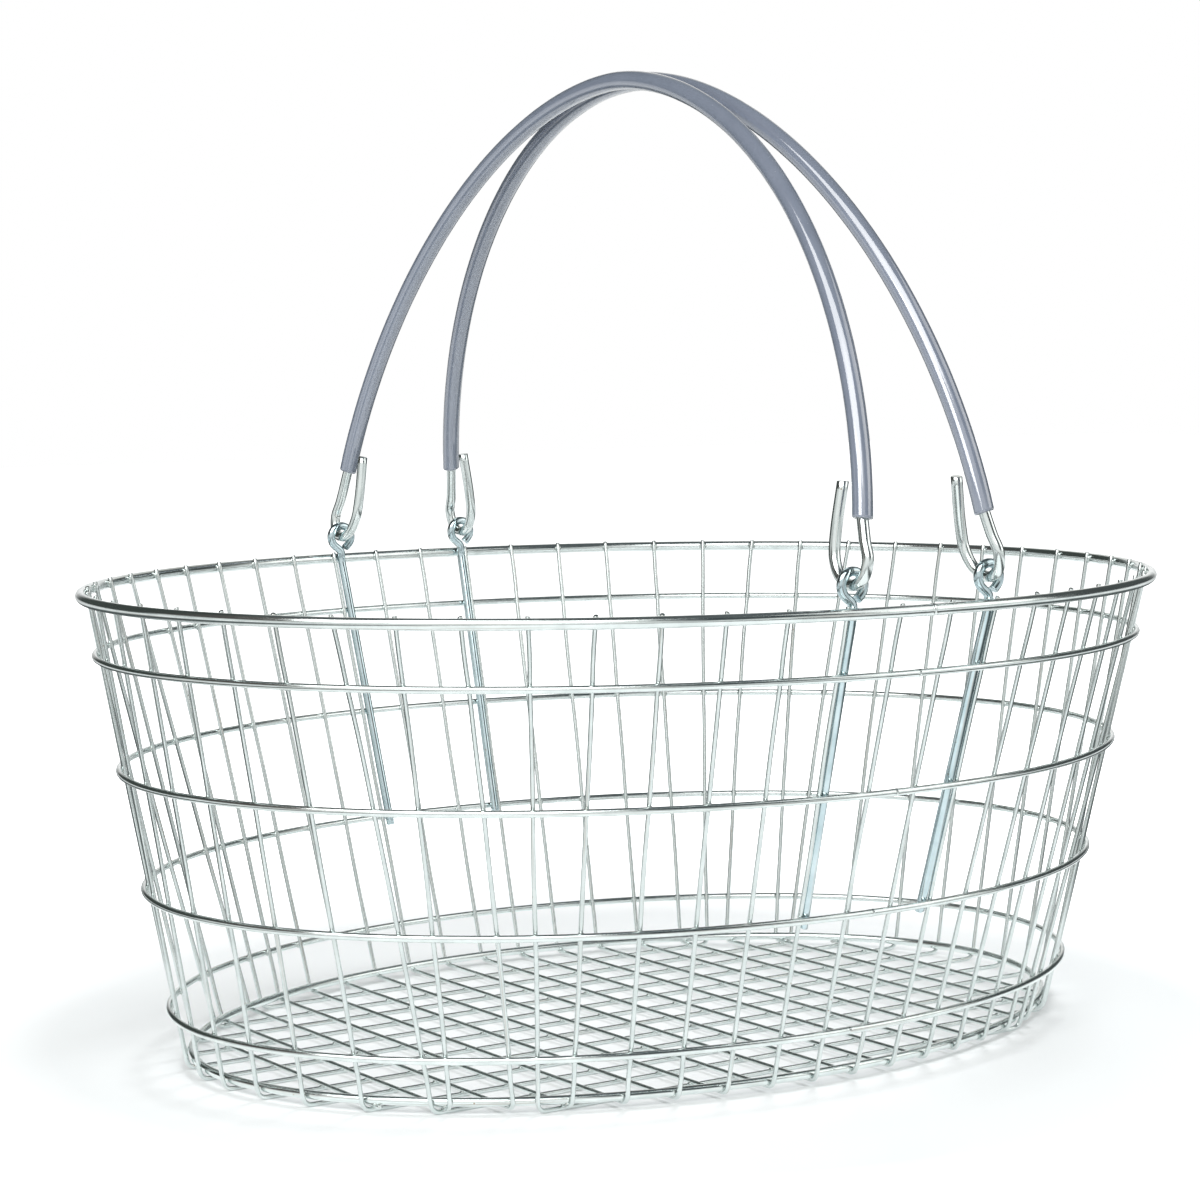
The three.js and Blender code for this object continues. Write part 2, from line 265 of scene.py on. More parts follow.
wires = {}
for kind, run, turned in (("cross", Y, X), ("long", X, Y)):
    number = 0
    for sign in (-1, 1):
        mirror = Vector((sign, 1, 1)) if kind == "cross" else Vector((1, sign, 1))
        for rib in [r for r in quarter if r["kind"] == kind]:
            number += 1
            wires[f"{kind}_wire_{number}"] = {"path": bent_wire(rib, run, mirror), "side": turned}
END_X = (CROSS_PER_SIDE + 0.5) * CROSS_PITCH
end_y = wall_at(CROSS_Z)[1] * math.sqrt(1 - (END_X / wall_at(CROSS_Z)[0]) ** 2) - END_WIRE_SHORT
for name, sign in (("end_wire_left", -1), ("end_wire_right", 1)):
    ends = Vector((sign * END_X, end_y, CROSS_Z)), Vector((sign * END_X, -end_y, CROSS_Z))
    wires[name] = {"path": spread_evenly(*ends), "side": X}
print(len(wires), "floor wires, the longest with", max(len(w["path"]) for w in wires.values()), "rings")

# %% [markdown]
# ## Hoops
#
# Five hoops lie outside the ribs and the base hoop inside them. A hoop is rolled from one length and butt
# welded, so it has one seam, on the near side: the metal is upset there to a small collar with a fine line
# round it. The radius follows the distance to the seam.

# %% Paths of the hoops
SEAM_RINGS = (0.1, 0.28, 0.6, 1.1, 1.8, 2.8)
COLLAR_SWELL, COLLAR_WIDE = 0.09, 1.3
LINE_DEPTH, LINE_WIDE = 0.2, 0.24
BASE_HOOP_INSET = 3.3


def hoop(z, outward, radius):
    a, b = (half + outward for half in wall_at(z))
    count = round(math.pi * (a + b) / STEP)
    angles = [-math.pi / 2 + 2 * math.pi * i / count for i in range(1, count)]
    near = [d / a for d in SEAM_RINGS]
    angles = [-math.pi / 2 + n for n in near] + angles + [3 * math.pi / 2 - n for n in reversed(near)]
    path = [Vector((a * math.cos(t), b * math.sin(t), z)) for t in angles]
    radii = []
    for t in angles:
        off = min(t + math.pi / 2, 3 * math.pi / 2 - t) * a
        collar = COLLAR_SWELL * math.exp(-((off / COLLAR_WIDE) ** 2))
        line = LINE_DEPTH * math.exp(-((off / LINE_WIDE) ** 2))
        radii.append(radius * (1 + collar - line))
    return {"path": path, "radii": radii, "z": z}


def outside(radius):
    return (RIB_D / 2 + radius) * WELD_SINK / WALL_SLANT


hoops = {"rim_hoop": hoop(RIM_LEVEL, outside(RIM_D / 2), RIM_D / 2)}
for i, level in enumerate(BAND_LEVELS):
    hoops[f"band_hoop_{i + 1}"] = hoop(level, outside(BAND_D / 2), BAND_D / 2)
hoops["base_hoop"] = hoop(BASE_HOOP_Z, -BASE_HOOP_INSET, BASE_HOOP_D / 2)
print(len(hoops), "hoops, rim", round(hoops["rim_hoop"]["path"][0].y, 1), "mm from the middle at its seam")

# %% [markdown]
# ## Crossings
#
# Every place where two wires meet is welded. The crossings are found once: hoop with rib at the hoop's
# level, and cross wire with long wire on the floor. They tell the wires where they were heated, and later
# each gets a small bead of weld metal.

# %% Find the crossings
SAME_LEVEL, BEND_CLEAR, END_CLEAR = 0.01, 3.0, 1.0


def rib_at(path, z):
    """The points where a bent wire passes a level, one on each side."""
    found = []
    for p, q in zip(path, path[1:]):
        if (p.z - z) * (q.z - z) <= 0 and p.z != q.z:
            found.append(p.lerp(q, (z - p.z) / (q.z - p.z)))
    return found


crossings = {name: [] for name in [*hoops, "floor"]}
for name, ring in hoops.items():
    if name == "base_hoop":
        continue
    for wire in wires.values():
        for p in rib_at(wire["path"], ring["z"]):
            out = Vector((p.x / wall_at(p.z)[0] ** 2, p.y / wall_at(p.z)[1] ** 2, 0)).normalized()
            around = Z.cross(out)
            crossings[name].append((p + out * (RIB_D / 2 * WELD_SINK), around, out))

floor_runs = {name: [p for p in wire["path"] if p.z < CROSS_Z + SAME_LEVEL] for name, wire in wires.items()}
a_base, b_base = (half - BASE_HOOP_INSET for half in wall_at(BASE_HOOP_Z))
for name, run in floor_runs.items():
    if name.startswith("long"):
        continue
    x = run[len(run) // 2].x
    for other, row in floor_runs.items():
        y = row[len(row) // 2].y
        inside = abs(x) < max(p.x for p in row) - BEND_CLEAR and abs(y) < max(p.y for p in run) - END_CLEAR
        if other.startswith("long") and inside:
            crossings["floor"].append((Vector((x, y, (LONG_Z + CROSS_Z) / 2)), X, Z))
    y = b_base * math.sqrt(1 - (x / a_base) ** 2)
    for sign in (-1, 1):
        crossings["base_hoop"].append((Vector((x, sign * y, CROSS_Z + RIB_D / 2 * WELD_SINK)), X, Z))
print({name: len(found) for name, found in crossings.items()})

# %% [markdown]
# ## Eye posts
#
# Each handle end hangs in an eye. The eye is the curled top of a 3.6 mm post that stands inside the wall beside
# a rib, from the second band up. A spline through a few points gives the curl its even bend.

# %% Paths of the eye posts
EYE_HOLE_R, EYE_RISE, POST_FOOT = 3.3, 10.0, 3.0
POST_BEHIND, POST_BESIDE = 0.3, 0.4
POST_SPANS, POST_SPAN_RINGS = 8, 5
EYE_R = EYE_HOLE_R + POST_D / 2
EYE_Z = RIM_LEVEL + EYE_RISE
post_rib = [r for r in quarter if r["kind"] == "cross"][1]


def spline(points, per_span):
    """A centripetal spline through the points, which doesn't overshoot at a tight bend."""
    padded = [points[0] * 2 - points[1], *points, points[-1] * 2 - points[-2]]
    path = []
    for p0, p1, p2, p3 in zip(padded, padded[1:], padded[2:], padded[3:]):
        t1 = max((p1 - p0).length, 1e-6) ** 0.5
        t2 = t1 + max((p2 - p1).length, 1e-6) ** 0.5
        t3 = t2 + max((p3 - p2).length, 1e-6) ** 0.5
        for i in range(per_span):
            t = t1 + (t2 - t1) * i / per_span
            a1 = p0 * ((t1 - t) / t1) + p1 * (t / t1)
            a2 = p1 * ((t2 - t) / (t2 - t1)) + p2 * ((t - t1) / (t2 - t1))
            a3 = p2 * ((t3 - t) / (t3 - t2)) + p3 * ((t - t2) / (t3 - t2))
            b1 = a1 * ((t2 - t) / t2) + a2 * (t / t2)
            b2 = a2 * ((t3 - t) / (t3 - t1)) + a3 * ((t - t1) / (t3 - t1))
            path.append(b1 * ((t2 - t) / (t2 - t1)) + b2 * ((t - t1) / (t2 - t1)))
    return [*path, points[-1]]


def post_point(z):
    inset = (POST_D - RIB_D) / 2 / WALL_SLANT + POST_BEHIND
    angle = rib_angle(post_rib, z) + (POST_D + RIB_D + POST_BESIDE) / 2 / wall_at(z)[0]
    return on_oval(angle, z, -inset)


EYE_X, EYE_Y = post_point(RIM_LEVEL).x, post_point(RIM_LEVEL).y
post_low = BAND_LEVELS[1] - POST_FOOT
levels = [post_low + (RIM_LEVEL - post_low) * i / POST_SPANS for i in range(POST_SPANS + 1)]
ring_turns = [math.radians(220 - 30 * i) for i in range(10)]
# The neck, the ring and its tip, in radii of the eye
curl = [(0, -1.8), (-0.05, -1.3), *((math.cos(t), math.sin(t)) for t in ring_turns), (0.42, -0.96)]
posts = {}
number = 0
for sx in (-1, 1):
    for sy in (-1, 1):
        number += 1
        points = [Vector((sx * post_point(z).x, sy * post_point(z).y, z)) for z in levels]
        points += [Vector((sx * EYE_X + EYE_R * u, sy * EYE_Y, EYE_Z + EYE_R * v)) for u, v in curl]
        posts[f"eye_post_{number}"] = spline(points, POST_SPAN_RINGS)
print(len(posts), f"posts, eyes at x {EYE_X:.2f}, y {EYE_Y:.2f}, z {EYE_Z:.2f} mm")

# %% [markdown]
# ## Handles
#
# A handle is one 4.4 mm wire in a tall arch, a superellipse. Each end goes out past its eye, through it and
# back up inside as a tail, which is what keeps it from slipping out. The whole handle leans inwards until
# the two grips all but touch. Its plane is worked out flat and then tilted about the line through the two eyes.

# %% Paths of the handles
ARCH_BULGE, ARCH_HEIGHT, ARCH_POWER = 3.6, 195.6, 1.86
GRIP_END_FAR, GRIP_END_NEAR = 30.0, 24.0
HOOK_OUT, HOOK_IN, TAIL_INSET, TAIL_TOP = 7.0, 12.8, 12.0, 37.0
GRIP_GAP, HOOK_SPAN_RINGS, ARCH_RINGS = 0.35, 6, 90
LEAN = math.asin((EYE_X - GRIP_D / 2 - GRIP_GAP) / ARCH_HEIGHT)


def arch_angle(height):
    return math.asin((height / ARCH_HEIGHT) ** (ARCH_POWER / 2))


def arch_point(angle):
    c = math.cos(angle)
    across = math.copysign(abs(c) ** (2 / ARCH_POWER), c)
    return Vector(((EYE_Y + ARCH_BULGE) * across, ARCH_HEIGHT * math.sin(angle) ** (2 / ARCH_POWER), 0))


def hook_from(end):
    outer = [(0.6, 2.3), (1, 1.35), (0.8, 0.43)]
    inner = [(0, 0), (0.57, 0.2), (0.92, 0.72), (1, 1.45)]
    points = [Vector((abs(end.x), end.y, 0))]
    points += [Vector((EYE_Y + HOOK_OUT * u, HOOK_OUT * v, 0)) for u, v in outer]
    points += [Vector((EYE_Y - HOOK_IN * u, HOOK_IN * v, 0)) for u, v in inner]
    points.append(Vector((EYE_Y - TAIL_INSET, TAIL_TOP, 0)))
    return spline(points, HOOK_SPAN_RINGS)[1:]


start, stop = arch_angle(GRIP_END_FAR), math.pi - arch_angle(GRIP_END_NEAR)
arch = [arch_point(start + (stop - start) * i / ARCH_RINGS) for i in range(ARCH_RINGS + 1)]
hook_far = list(reversed(hook_from(arch[0])))
hook_near = [Vector((-p.x, p.y, 0)) for p in hook_from(arch[-1])]


def in_handle(sign, p):
    return Vector((sign * (EYE_X - p.y * math.sin(LEAN)), p.x, EYE_Z + p.y * math.cos(LEAN)))


print(f"handles lean in by {math.degrees(LEAN):.1f} degrees and rise to {EYE_Z + ARCH_HEIGHT:.0f} mm")

# %% [markdown]
# ## Shared effects for the finishes
#
# Three small node groups hold what more than one finish needs: lines drawn along a wire or an extruded tube,
# soft clouding, and scattered specks. Each takes the lay as a vector and puts out a mask from 0 to 1. They
# only make masks: the shader itself stays in each material.

# %% Node helpers and groups
def add(tree, kind, x, y, inputs=None, **settings):
    made = tree.nodes.new(kind)
    made.location = (x, y)
    for key, value in settings.items():
        setattr(made, key, value)
    for key, value in (inputs or {}).items():
        if isinstance(value, bpy.types.NodeSocket):
            tree.links.new(value, made.inputs[key])
        else:
            made.inputs[key].default_value = value
    return made


def new_group(name, inputs, output):
    group = bpy.data.node_groups.new(name, "ShaderNodeTree")
    for socket, kind, value in inputs:
        made = group.interface.new_socket(socket, in_out="INPUT", socket_type=kind)
        if value is not None:
            made.default_value = value
    group.interface.new_socket(output, in_out="OUTPUT", socket_type="NodeSocketFloat")
    return group, add(group, "NodeGroupInput", -900, 0).outputs, add(group, "NodeGroupOutput", 500, 0)


def spread_mask(tree, source, low, high, x, y, start=0.0, end=1.0):
    spread = {"Value": source, "From Min": low, "From Max": high, "To Min": start, "To Max": end}
    return add(tree, "ShaderNodeMapRange", x, y, spread).outputs["Result"]


def math_node(tree, x, y, operation, *values):
    return add(tree, "ShaderNodeMath", x, y, dict(enumerate(values)), operation=operation).outputs[0]


FLOAT, VECTOR = "NodeSocketFloat", "NodeSocketVector"
lines, given, result = new_group(
    "drawn_lines", [("Lay", VECTOR, None), ("Lines per mm", FLOAT, 3.0), ("Length mm", FLOAT, 30.0)], "Lines")
along = math_node(lines, -700, -160, "DIVIDE", 1.0, given["Length mm"])
stretch = add(lines, "ShaderNodeCombineXYZ", -520, -100,
              {"X": given["Lines per mm"], "Y": given["Lines per mm"], "Z": along})
placed = add(lines, "ShaderNodeVectorMath", -340, 0, {0: given["Lay"], 1: stretch.outputs[0]}, operation="MULTIPLY")
grain = add(lines, "ShaderNodeTexNoise", -160, 0,
            {"Vector": placed.outputs[0], "Scale": 1.0, "Detail": 3.0, "Roughness": 0.6})
lines.links.new(spread_mask(lines, grain.outputs["Fac"], 0.3, 0.7, 60, 0), result.inputs["Lines"])

clouds, given, result = new_group(
    "soft_clouding", [("Lay", VECTOR, None), ("Patches per mm", FLOAT, 0.1), ("Contrast", FLOAT, 0.2)], "Clouds")
haze = add(clouds, "ShaderNodeTexNoise", -500, 0,
           {"Vector": given["Lay"], "Scale": given["Patches per mm"], "Detail": 4.0, "Roughness": 0.55})
darkest = math_node(clouds, -300, -160, "SUBTRACT", 0.5, given["Contrast"])
palest = math_node(clouds, -300, -320, "ADD", 0.5, given["Contrast"])
clouds.links.new(spread_mask(clouds, haze.outputs["Fac"], darkest, palest, 0, 0), result.inputs["Clouds"])

specks, given, result = new_group(
    "scattered_specks", [("Lay", VECTOR, None), ("Specks per mm", FLOAT, 0.5), ("Size", FLOAT, 0.2)], "Specks")
cells = add(specks, "ShaderNodeTexVoronoi", -500, 0, {"Vector": given["Lay"], "Scale": given["Specks per mm"]})
fade = math_node(specks, -300, -200, "MULTIPLY", given["Size"], 0.5)
specks.links.new(spread_mask(specks, cells.outputs["Distance"], given["Size"], fade, 0, 0), result.inputs["Specks"])
print("groups:", lines.name, clouds.name, specks.name)

# %% [markdown]
# ## Bright zinc
#
# The wire is steel with a thin bright zinc plate: a cool, slightly green-blue mirror. It is a metal, so its
# colour is all in the reflection. The drawing die leaves fine lines along the wire, the plate clouds a little,
# and each weld leaves a duller, browner patch. Clouding changes the roughness more than the colour. The thin wire
# was drawn further, so its skin is rougher: it gets the same finish with other values, and its colour is painted
# darker than the thick wire's, as painted shade. The posts get other values too, since their plate is bluer.

# %% Zinc wire material
def use_group(tree, group, x, y, lay, **values):
    made = add(tree, "ShaderNodeGroup", x, y)
    made.node_tree = group
    tree.links.new(lay, made.inputs["Lay"])
    for key, value in values.items():
        made.inputs[key.replace("_", " ")].default_value = value
    return made.outputs[0]


def mix_colour(tree, x, y, factor, a, b):
    return add(tree, "ShaderNodeMix", x, y, {0: factor, 6: a, 7: b}, data_type="RGBA").outputs[2]


def mix_value(tree, x, y, factor, a, b):
    return spread_mask(tree, factor, 0.0, 1.0, x, y, a, b)


def start_material(name):
    material = bpy.data.materials.new(name)
    material.use_nodes = True
    tree = material.node_tree
    return material, tree, tree.nodes["Principled BSDF"]


SCRATCHED, SCORCHED, RUSTED = (0.50, 0.49, 0.46, 1), (0.42, 0.40, 0.35, 1), (0.30, 0.20, 0.11, 1)
SCORCHED_ROUGH = 0.5


def zinc_material(name, clean, dull, weld_share, bright, hazy):
    material, tree, shader = start_material(name)
    lay = add(tree, "ShaderNodeAttribute", -1500, 0, attribute_name="lay").outputs["Vector"]
    heat = add(tree, "ShaderNodeAttribute", -1500, -300, attribute_name="heat").outputs["Fac"]
    die = use_group(tree, lines, -1250, 200, lay, Lines_per_mm=4.0, Length_mm=45.0)
    long_die = use_group(tree, lines, -1250, 400, lay, Lines_per_mm=1.1, Length_mm=70.0)
    scratch = spread_mask(tree, long_die, 0.62, 1.15, -1050, 420)
    haze = use_group(tree, clouds, -1250, 0, lay, Patches_per_mm=0.09, Contrast=0.16)
    pits = use_group(tree, specks, -1250, -200, lay, Specks_per_mm=0.16, Size=0.055)
    patch = use_group(tree, clouds, -1250, -400, lay, Patches_per_mm=0.8, Contrast=0.25)
    scorch = math_node(tree, -1000, -350, "MULTIPLY", heat, patch)
    scorch = math_node(tree, -820, -350, "MULTIPLY", scorch, weld_share)
    colour = mix_colour(tree, -1000, 250, haze, clean, dull)
    colour = mix_colour(tree, -800, 200, scratch, colour, SCRATCHED)
    colour = mix_colour(tree, -600, 150, scorch, colour, SCORCHED)
    colour = mix_colour(tree, -400, 120, pits, colour, RUSTED)
    tree.links.new(colour, shader.inputs["Base Color"])
    rough = mix_value(tree, -800, -60, haze, bright, hazy)
    rough = mix_value(tree, -600, -80, scorch, rough, SCORCHED_ROUGH)
    tree.links.new(rough, shader.inputs["Roughness"])
    bump = add(tree, "ShaderNodeBump", -300, -300,
               {"Strength": 0.12, "Distance": 0.00006, "Height": die})
    tree.links.new(bump.outputs["Normal"], shader.inputs["Normal"])
    shader.inputs["Metallic"].default_value = 1.0
    return material


zinc_thick = zinc_material("zinc_thick_wire", clean=(0.81, 0.86, 0.852, 1), dull=(0.675, 0.735, 0.727, 1),
                           weld_share=0.55, bright=0.12, hazy=0.2)
# The thin wire's zinc is painted darker than the thick wire's: painted shade on the same plate.
zinc_thin_painted_shade = zinc_material("zinc_thin_wire", clean=(0.72, 0.77, 0.762, 1), dull=(0.61, 0.665, 0.658, 1),
                          weld_share=0.55, bright=0.16, hazy=0.26)
zinc_weld = zinc_material("zinc_weld", clean=(0.68, 0.74, 0.73, 1), dull=(0.50, 0.54, 0.52, 1),
                          weld_share=0.7, bright=0.2, hazy=0.3)
zinc_post = zinc_material("zinc_post_wire", clean=(0.625, 0.735, 0.765, 1), dull=(0.45, 0.57, 0.605, 1),
                          weld_share=0.55, bright=0.1, hazy=0.18)
print("finishes:", zinc_thick.name, zinc_thin_painted_shade.name, zinc_weld.name, zinc_post.name)

# %% [markdown]
# ## Wires into place
#
# Now every path becomes a wire. Each stands for the CAD node of its own name, which is hidden, and rides on the
# basket body. The hoops are closed rings with more sides, because they are thicker and seen closest.

# %% Make the basket wires
RIB_SIDES, HOOP_SIDES, POST_SIDES, HANDLE_SIDES = 10, 16, 14, 16
BOX_MARGIN = 4
POST_SHANK = 60  # rings of a post from its foot to above the rim


def dress(piece, node, body, material):
    piece.data.materials.append(material)
    if node:
        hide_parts(node)
    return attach(piece, body)


all_welds = {name: [found[0] for found in group] for name, group in crossings.items()}
for name, wire in wires.items():
    low = [min(p[i] for p in wire["path"]) - BOX_MARGIN for i in range(3)]
    high = [max(p[i] for p in wire["path"]) + BOX_MARGIN for i in range(3)]
    mine = [w for group in all_welds.values() for w in group if all(low[i] < w[i] < high[i] for i in range(3))]
    piece = sweep(f"{name}_round", wire["path"], RIB_D / 2, RIB_SIDES, wire["side"], mine)
    dress(piece, name, "basket", zinc_thin_painted_shade)
for name, ring in hoops.items():
    piece = sweep(f"{name}_round", ring["path"], ring["radii"], HOOP_SIDES, Z, all_welds[name], closed=True)
    dress(piece, name, "basket", zinc_thick)
for name, path in posts.items():
    held = [path[0] + Z * POST_FOOT]
    for level in (BAND_LEVELS[2], BAND_LEVELS[3], RIM_LEVEL):
        held += rib_at(path[:POST_SHANK], level)
    piece = sweep(f"{name}_round", path, POST_D / 2, POST_SIDES, Y, held)
    dress(piece, name, "basket", zinc_post)
print(wire_count, "wires on the basket")

# %% [markdown]
# ## Weld beads
#
# Under each crossing some metal is squeezed out and freezes as a small uneven cushion between the two wires.
# A bead is a low ball, flattened along the line between the wires and roughened a little. All the beads of
# one hoop are one mesh, since nobody takes them apart.

# %% Make the weld beads
BEAD_SIDES, BEAD_RINGS, BEAD_LUMP = 8, 3, 0.14
BEAD_SIZES = {"rim_hoop": (1.75, 1.7, 0.9), "floor": (1.25, 1.25, 0.7), "base_hoop": (1.5, 1.5, 0.8)}
BAND_BEAD_SIZE = (1.6, 1.45, 0.8)
LAY_PER_POINT = 3.1
shape = random.Random(11)


def bead_rows(centre, along, out, wide, tall, thick):
    across = out.cross(along).normalized()
    rows = []
    for ring in range(1, BEAD_RINGS + 1):
        tip = math.pi * ring / (BEAD_RINGS + 1)
        for k in range(BEAD_SIDES):
            turn = 2 * math.pi * k / BEAD_SIDES
            lump = 1 + shape.uniform(-BEAD_LUMP, BEAD_LUMP)
            flat = along * (wide * math.cos(turn)) + across * (tall * math.sin(turn))
            rows.append(centre + (flat * math.sin(tip) + out * (thick * math.cos(tip))) * lump)
    return [centre + out * thick, *rows, centre - out * thick]


def weld_beads(name, places, wide, tall, thick):
    verts, faces, lay = [], [], []
    around = [(k, (k + 1) % BEAD_SIDES) for k in range(BEAD_SIDES)]
    for centre, along, out in places:
        base = len(verts)
        wide_here, tall_here = (size * shape.uniform(0.8, 1.2) for size in (wide, tall))
        verts += bead_rows(centre, along, out, wide_here, tall_here, thick)
        lay += [(v - centre) + Vector((0, 0, base * LAY_PER_POINT)) for v in verts[base:]]
        first, last = base + 1, len(verts) - 1
        faces += [(base, first + k, first + n) for k, n in around]
        for ring in range(BEAD_RINGS - 1):
            a, b = first + ring * BEAD_SIDES, first + (ring + 1) * BEAD_SIDES
            faces += [(a + k, b + k, b + n, a + n) for k, n in around]
        faces += [(b + k, last, b + n) for k, n in around]
    piece = make_mesh(name, verts, faces, set(), lay, [1.0] * len(verts))
    return dress(piece, None, "basket", zinc_weld)


for name, places in crossings.items():
    made = weld_beads(f"{name}_welds", places, *BEAD_SIZES.get(name, BAND_BEAD_SIZE))
    print(made.name, len(places), "beads")

# %% [markdown]
# ## Grips
#
# The grip is a length of soft vinyl tube pushed over the wire: grey-blue and glossy, with a drawn skin that
# shows faint lines along it and a paler cut at each end. A plastic's colour lies under its shine, so a clear coat
# over a dull colour makes it. The *heat* value, which this piece has no other use for, marks the pale cut.

# %% Vinyl material
grip_vinyl, tree, shader = start_material("vinyl_tube")
lay = add(tree, "ShaderNodeAttribute", -1300, 0, attribute_name="lay").outputs["Vector"]
cut = add(tree, "ShaderNodeAttribute", -1300, -500, attribute_name="heat").outputs["Fac"]
flow = use_group(tree, lines, -1050, 200, lay, Lines_per_mm=1.2, Length_mm=260.0)
mottle = use_group(tree, clouds, -1050, 0, lay, Patches_per_mm=0.06, Contrast=0.2)
dust = use_group(tree, specks, -1050, -200, lay, Specks_per_mm=0.35, Size=0.07)
VINYL_DARK, VINYL_PALE = (0.160, 0.184, 0.236, 1), (0.184, 0.208, 0.262, 1)
DUSTY, FRESH_CUT = (0.27, 0.28, 0.33, 1), (0.52, 0.53, 0.56, 1)
colour = mix_colour(tree, -800, 150, mottle, VINYL_DARK, VINYL_PALE)
colour = mix_colour(tree, -600, 130, dust, colour, DUSTY)
colour = mix_colour(tree, -400, 100, cut, colour, FRESH_CUT)
tree.links.new(colour, shader.inputs["Base Color"])
rough = mix_value(tree, -800, -80, mottle, 0.10, 0.14)
rough = mix_value(tree, -600, -100, dust, rough, 0.6)
tree.links.new(mix_value(tree, -400, -120, cut, rough, 0.7), shader.inputs["Roughness"])
skin = add(tree, "ShaderNodeBump", -300, -320, {"Strength": 0.03, "Distance": 0.00005, "Height": flow})
tree.links.new(skin.outputs["Normal"], shader.inputs["Normal"])
shader.inputs["Specular IOR Level"].default_value = 1.0
shader.inputs["Coat Weight"].default_value = 1.0
shader.inputs["Coat IOR"].default_value = 1.8
shader.inputs["Coat Roughness"].default_value = 0.09
print("finish:", grip_vinyl.name)

# %% [markdown]
# ## Handles into place
#
# The wire is swept like the others, and the tube goes over it along the same arch. A solid bar would look
# the same from afar, but the mouth of a tube is open, so it gets two walls: out along the outside, round the lip and
# back along the bore. Soft tube is never quite round, so its radius wavers a little, with a fixed seed.

# %% Make the handles
GRIP_SIDES, GRIP_UNEVEN, GRIP_OBLIQUE, HANDLE_SLANT = 20, 0.006, 0.35, 0.1
soft = random.Random(23)


def grip_mesh(name, path, side):
    """A tube with two walls. Each ring has its place on the path, a shift, a radius and how pale it is."""
    sides, outer, inner = GRIP_SIDES, GRIP_D / 2, GRIP_BORE_D / 2
    wall = outer - inner
    last = len(path) - 1
    lip = [(0.0, inner + 0.12 * wall, 1.0), (0.0, outer - 0.3 * wall, 1.0), (0.5, outer, 0.9), (1.1, outer, 0.0)]
    rings = [(0, *step) for step in lip]
    rings += [(i, 0.0, outer * (1 + soft.uniform(-GRIP_UNEVEN, GRIP_UNEVEN)), 0.0) for i in range(1, last)]
    rings += [(last, -shift, radius, pale) for shift, radius, pale in reversed(lip)]
    rings += [(i, 0.0, inner, 0.0) for i in range(last - 1, 0, -1)]
    verts, lay, cut = [], [], []
    for i, shift, radius, pale in rings:
        tangent = (path[min(i + 1, last)] - path[max(i - 1, 0)]).normalized()
        normal = (side - tangent * side.dot(tangent)).normalized()
        binormal = tangent.cross(normal)
        way = sum((path[j + 1] - path[j]).length for j in range(i))
        oblique = GRIP_OBLIQUE if i in (0, last) else 0.0
        for k in range(sides):
            turn = 2 * math.pi * k / sides
            across = normal * math.cos(turn) + binormal * math.sin(turn)
            verts.append(path[i] + across * radius + tangent * (shift + oblique * math.cos(turn + i)))
            lay.append((radius * math.cos(turn), radius * math.sin(turn), way))
            cut.append(pale)
    faces = []
    for i in range(len(rings)):
        a, b = i * sides, (i + 1) % len(rings) * sides
        faces += [(a + k, a + (k + 1) % sides, b + (k + 1) % sides, b + k) for k in range(sides)]
    return make_mesh(name, verts, faces, set(), lay, cut)


for letter, sign in (("a", -1), ("b", 1)):
    lean_side = Vector((sign * math.cos(LEAN), 0, math.sin(LEAN)))
    wire_path = [in_handle(sign, p) for p in [*hook_far, *arch, *hook_near]]
    wire = sweep(f"handle_wire_{letter}_round", wire_path, HANDLE_D / 2, HANDLE_SIDES, lean_side,
                 slant=HANDLE_SLANT)
    dress(wire, f"handle_wire_{letter}", f"handle_{letter}", zinc_thick)
    grip = grip_mesh(f"handle_grip_{letter}_tube", [in_handle(sign, p) for p in arch], lean_side)
    dress(grip, f"handle_grip_{letter}", f"handle_{letter}", grip_vinyl)
    print(wire.name, len(wire.data.polygons), "faces,", grip.name, len(grip.data.polygons), "faces")

# %% [markdown]
# ## Camera
#
# The photograph is taken from a little above the rim, with a long lens, about 34 degrees round to the left. The
# camera is placed by those angles and its distance, and turned by half a degree about its own line of sight.

# %% Camera
AZIMUTH, ELEVATION, ROLL = math.radians(-33.93), math.radians(4.72), math.radians(-0.52)
DISTANCE, FOCAL_WIDTHS = 1245.6, 3008.3 / 1200
TARGET_ACROSS, TARGET_UP = -12.28, 177.15
SENSOR_WIDE = 36
across = Vector((math.cos(AZIMUTH), math.sin(AZIMUTH), 0))
front = Vector((math.sin(AZIMUTH), -math.cos(AZIMUTH), 0))
back = front * math.cos(ELEVATION) + Z * math.sin(ELEVATION)
above = back.cross(across)
target = across * TARGET_ACROSS + Z * TARGET_UP
right = across * math.cos(ROLL) + above * math.sin(ROLL)
up = above * math.cos(ROLL) - across * math.sin(ROLL)
lens = bpy.data.cameras.new("camera")
lens.sensor_fit = "HORIZONTAL"
lens.sensor_width = SENSOR_WIDE
lens.lens = SENSOR_WIDE * FOCAL_WIDTHS
lens.clip_start, lens.clip_end = 0.05, 50
camera = bpy.data.objects.new("camera", lens)
bpy.context.scene.collection.objects.link(camera)
turned = Matrix((right, up, back)).transposed().to_4x4()
camera.matrix_world = Matrix.Translation((target + back * DISTANCE) * MM) @ turned
bpy.context.scene.camera = camera
print("camera at", [round(v, 3) for v in camera.location], "lens", round(lens.lens, 1), "mm")

# %% [markdown]
# ## Floor
#
# The floor is a strip of white paper that runs towards the camera on a dark table. Close to the basket the camera
# sees mostly paint, so that the soft shadow shows. Further out it glows white, as a lit studio sweep does, and so
# it has no horizon. Mirrors see the table on both sides of the paper, which gives the wires their dark outlines.
# The Light Path node tells the rays apart.

